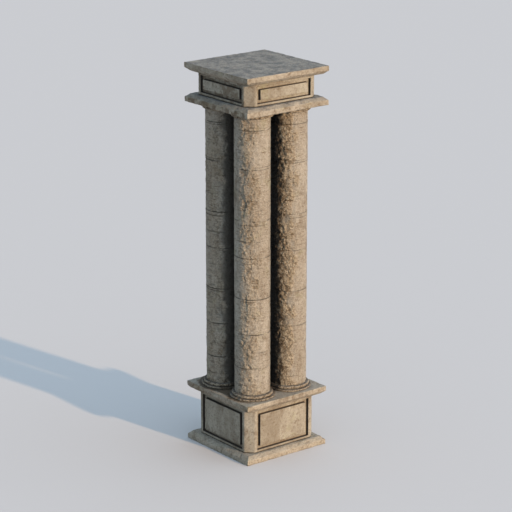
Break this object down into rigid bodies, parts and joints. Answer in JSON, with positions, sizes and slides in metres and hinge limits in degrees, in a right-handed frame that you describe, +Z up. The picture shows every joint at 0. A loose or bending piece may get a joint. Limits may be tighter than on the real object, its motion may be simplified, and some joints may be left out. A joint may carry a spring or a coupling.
{
  "type": "clustered stone column",
  "caption": "Clustered stone pillar: round shafts standing together on a square panelled pedestal and carrying a square panelled capital block and slab.",
  "frame": {"origin": "centre of the plinth slab's underside", "axes": "+Z up along the pillar's axis, X and Y square to the sides of the slabs"},
  "size_m": [2.045, 2.045, 8],
  "materials": {
    "tan_stone": "weathered, rough",
    "grey_tan_stone": "weathered, rough"
  },
  "bodies": {
    "root": {"plinth_slab": "grey_tan_stone", "pedestal_die": "tan_stone", "pedestal_cap_slab": "grey_tan_stone", "base_front_left": "tan_stone", "drum_1_front_left": "tan_stone", "drum_2_front_left": "tan_stone", "drum_3_front_left": "tan_stone", "drum_4_front_left": "tan_stone", "drum_5_front_left": "tan_stone", "drum_6_front_left": "tan_stone", "capital_front_left": "tan_stone", "base_front_right": "tan_stone", "drum_1_front_right": "tan_stone", "drum_2_front_right": "tan_stone", "drum_3_front_right": "tan_stone", "drum_4_front_right": "tan_stone", "drum_5_front_right": "tan_stone", "drum_6_front_right": "tan_stone", "capital_front_right": "tan_stone", "base_back_left": "tan_stone", "drum_1_back_left": "tan_stone", "drum_2_back_left": "tan_stone", "drum_3_back_left": "tan_stone", "drum_4_back_left": "tan_stone", "drum_5_back_left": "tan_stone", "drum_6_back_left": "tan_stone", "capital_back_left": "tan_stone", "base_back_right": "tan_stone", "drum_1_back_right": "tan_stone", "drum_2_back_right": "tan_stone", "drum_3_back_right": "tan_stone", "drum_4_back_right": "tan_stone", "drum_5_back_right": "tan_stone", "drum_6_back_right": "tan_stone", "capital_back_right": "tan_stone", "capital_slab": "grey_tan_stone", "capital_block": "tan_stone", "top_slab": "grey_tan_stone"}
  },
  "joints": []
}
